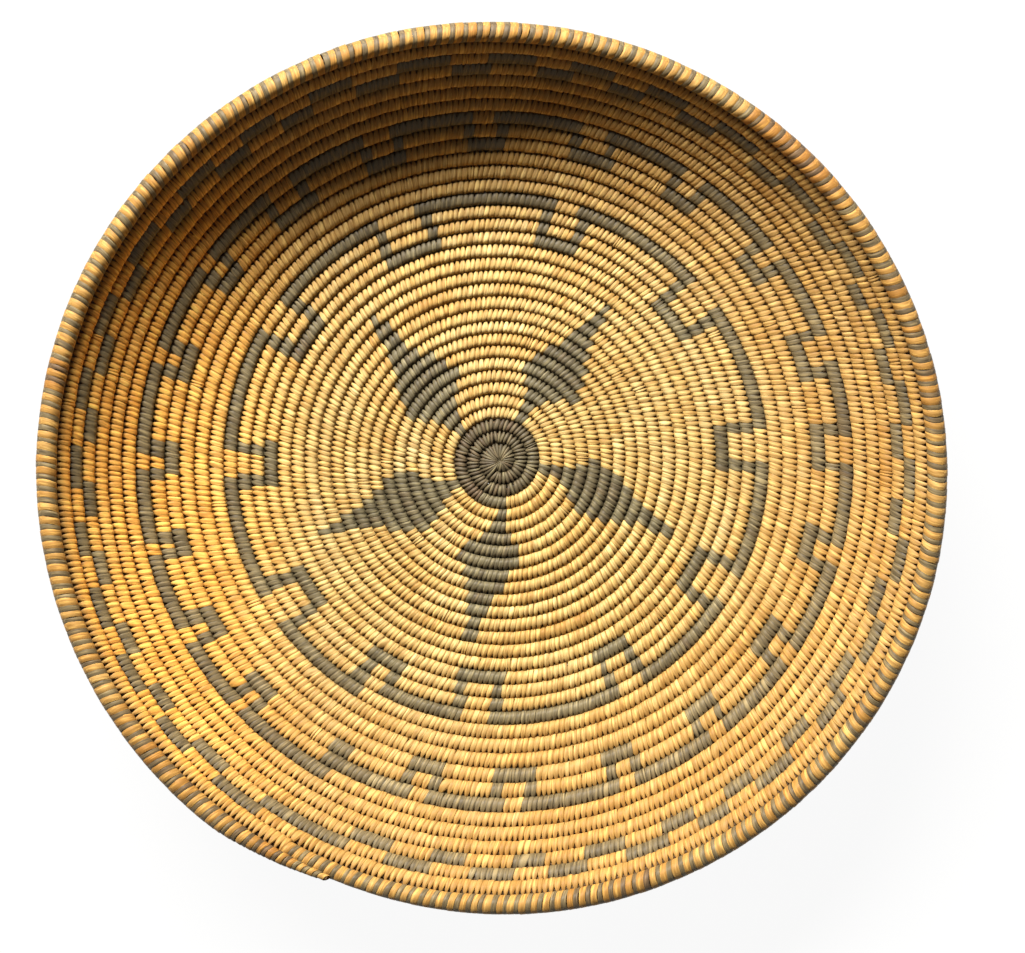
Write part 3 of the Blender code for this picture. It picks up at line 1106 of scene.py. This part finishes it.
@dataclass
class Foundation:
    """The willow rods inside the coil, three side by side, spliced end to end.

    A single rod runs on through the rim's tail, where the others have run out, and closes its
    end. Splice, lap and gap are in turns, and nest in radii from the bundle's middle.
    """

    coil: Coil
    recipe: Recipe
    material: bpy.types.Material
    bundles: int = 11
    rod_radius: float = 0.95 * MM
    start_radius: float = 0.88 * MM
    nest: float = 2.0 / math.sqrt(3.0)
    rod_angles: Triple = (90.0, 210.0, 330.0)
    rod_sides: int = 8
    splice: float = 0.001
    tail_lap: float = 0.01
    tail_gap: float = 0.0018
    sections: int = 36
    least_points: int = 8

    def lay(self) -> None:
        """Lays every length of the bundle."""
        start, end = self.coil.start_swell, self.coil.end - self.coil.rim_taper
        turns = np.linspace(start, end, int((end - start) * self.sections))
        lengths = self.coil.lengths(turns)
        cuts = np.interp(np.linspace(0.0, lengths[-1], self.bundles + 1), lengths, turns)
        for number, (near, far) in enumerate(zip(cuts[:-1], cuts[1:]), start=1):
            self.lay_bundle(number, near, far)

    def lay_bundle(self, number: int, near: float, far: float) -> None:
        """Lays one length of the bundle, of thinner rods in the first.

        Args:
            number: Its number from the middle.
            near: The turn at which it starts.
            far: The turn at which it ends.
        """
        radius = self.start_radius if number == 1 else self.rod_radius
        rods = [(near, far - self.splice, radius * self.nest, math.radians(angle))
                for angle in self.rod_angles]
        if number == self.bundles:
            rods.append((far - self.tail_lap, self.coil.end - self.tail_gap, 0.0, 0.0))
        vertices: list[list[float]] = []
        edges: list[tuple[int, int]] = []
        for first_turn, last_turn, off, angle in rods:
            turns = np.linspace(first_turn, last_turn, max(
                self.least_points, int((last_turn - first_turn) * self.sections)))
            points = self.coil.stand(turns, off * math.cos(angle), off * math.sin(angle))[0]
            first, last = len(vertices), len(vertices) + len(points) - 1
            vertices += points.tolist()
            edges += [(i, i + 1) for i in range(first, last)]
        self.recipe.make(f"willow_rods_{number:02d}", make_mesh("lines", vertices, edges, []), {
            "Rod Radius": radius, "Rod Sides": self.rod_sides, "Material": self.material},
            f"foundation_rods_{number:02d}", "willow_rod")


@dataclass
class StartKnot:
    """The knot in the middle: narrow splints crossing over it like a star."""

    coil: Coil
    recipe: Recipe
    material: bpy.types.Material
    radius: float = 2.2 * MM
    crossings: int = 9
    half_width: float = 0.42 * MM
    sunk: float = 0.35 * MM
    inner_limit: float = 1.08
    tones: Range = (0.5, 1.0)
    width_spread: float = 0.2
    turn_spread: float = 0.1
    lift_spread: float = 0.05
    seed: int = 3

    def tie(self) -> None:
        """Ties the knot."""
        middle = self.coil.thickness / 2
        forms = Stitch(half_width=self.half_width, half_length=self.radius,
                       half_depth=middle - self.sunk, inner_limit=self.inner_limit, lean=0.0,
                       widths=(1.0,) * 14, drift=0.0).forms("knot", self.seed)
        start = make_mesh(
            "places", [(0.0, 0.0, middle)] * self.crossings, [], [],
            up_wall=outwards(np.arange(self.crossings) * math.pi / self.crossings),
            into_bowl=np.tile((0.0, 0.0, 1.0), (self.crossings, 1)),
            size=np.ones((self.crossings, 3)), tone=np.linspace(*self.tones, self.crossings))
        self.recipe.make("knot_devils_claw", start, {
            "Stitches": forms, "Width Spread": self.width_spread,
            "Turn Spread": self.turn_spread, "Lift Spread": self.lift_spread,
            "Seed": self.seed, "Material": self.material}, "start_knot", Splint.DEVILS_CLAW.value)
        clear(forms)


# The studio


@dataclass
class Studio:
    """The floor, the light and the camera."""

    WHITE = (1.0, 1.0, 1.0, 1.0)
    WHITE_RAYS = ("Is Camera Ray", "Is Glossy Ray", "Is Transmission Ray")

    floor_size: float = 4.0
    floor_colour: Triple = (0.86, 0.86, 0.85)
    floor_roughness: float = 0.8
    white_share: float = 0.94
    key_azimuth: float = 108.0
    key_elevation: float = 40.0
    key_distance: float = 1.6
    key_size: Range = (1.3, 0.35)
    key_colour: Triple = (1.0, 0.97, 0.92)
    key_power: float = 82.0
    fill_colour: Triple = (1.0, 0.97, 0.93)
    fill: float = 0.016
    camera_place: Triple = (0.0243, 0.0475, 0.640)
    lens: float = 51.06
    lens_shift: Range = (-0.0422, -0.1214)
    sensor_width: float = 36.0
    clip_start: float = 0.01

    def seen_white(self, bench: ShaderBench) -> Signal:
        """A mask of the rays that see plain white."""
        return 1.0 - math.prod(1.0 - bench.node("ShaderNodeLightPath", output=ray)
                               for ray in self.WHITE_RAYS)

    def lay_floor(self) -> None:
        """Lays the pale floor."""
        bench = ShaderBench(bpy.data.materials.new("pale_floor"))
        plain = bench.node("ShaderNodeBsdfPrincipled", {
            "Base Color": (*self.floor_colour, 1.0), "Roughness": self.floor_roughness})
        white = bench.node("ShaderNodeEmission", {"Color": self.WHITE, "Strength": 1.0})
        shown = bench.node("ShaderNodeMixShader", {
            0: self.seen_white(bench) * self.white_share, 1: plain, 2: white})
        mesh = bpy.data.meshes.new("floor")
        build = bmesh.new()
        bmesh.ops.create_grid(build, x_segments=4, y_segments=4, size=self.floor_size)
        build.to_mesh(mesh)
        build.free()
        mesh.materials.append(bench.finish(shown))
        show("floor", mesh)

    def hang_lights(self) -> None:
        """Hangs the key light and fills the room."""
        bench = ShaderBench(bpy.data.worlds.new("studio"))
        plain = bench.node("ShaderNodeBackground", {
            "Color": (*self.fill_colour, 1.0), "Strength": self.fill})
        white = bench.node("ShaderNodeBackground", {"Color": self.WHITE, "Strength": 1.0})
        shown = bench.node("ShaderNodeMixShader", {0: self.seen_white(bench), 1: plain, 2: white})
        bpy.context.scene.world = bench.finish(shown, "ShaderNodeOutputWorld")
        direction = Vector(outwards(np.radians(self.key_azimuth)))
        direction *= math.cos(math.radians(self.key_elevation))
        direction.z = math.sin(math.radians(self.key_elevation))
        lamp = bpy.data.lights.new("key", "AREA")
        lamp.shape = "ELLIPSE"
        lamp.size, lamp.size_y = self.key_size
        lamp.energy = self.key_power
        lamp.color = self.key_colour
        key = show("key", lamp)
        key.location = direction * self.key_distance
        key.rotation_euler = direction.to_track_quat("Z", "Y").to_euler()

    def set_camera(self) -> None:
        """Hangs the camera level over the bowl, off its middle, with the lens shifted back."""
        lens = bpy.data.cameras.new("camera")
        lens.lens = self.lens
        lens.shift_x, lens.shift_y = self.lens_shift
        lens.sensor_width = self.sensor_width
        lens.clip_start = self.clip_start
        camera = show("camera", lens)
        camera.location = self.camera_place
        bpy.context.scene.camera = camera
        bpy.context.scene.view_settings.view_transform = "Standard"

    def set_up(self) -> None:
        """Sets up the whole studio."""
        self.lay_floor()
        self.hang_lights()
        self.set_camera()


def main() -> None:
    """Builds every piece and the studio."""
    logging.basicConfig(level=logging.INFO, format="%(name)s: %(message)s")
    coil = Coil()
    materials = {Splint.WILLOW: WILLOW_FINISH.material(),
                 Splint.DEVILS_CLAW: DEVILS_CLAW_FINISH.material()}
    sewing = sewing_recipe()
    StartKnot(coil, sewing, materials[Splint.DEVILS_CLAW]).tie()
    Sewing(coil, Pattern(), sewing, materials).sew()
    Foundation(coil, rod_recipe(), RodFinish().material()).lay()
    Studio().set_up()


if __name__ == "__main__":
    main()
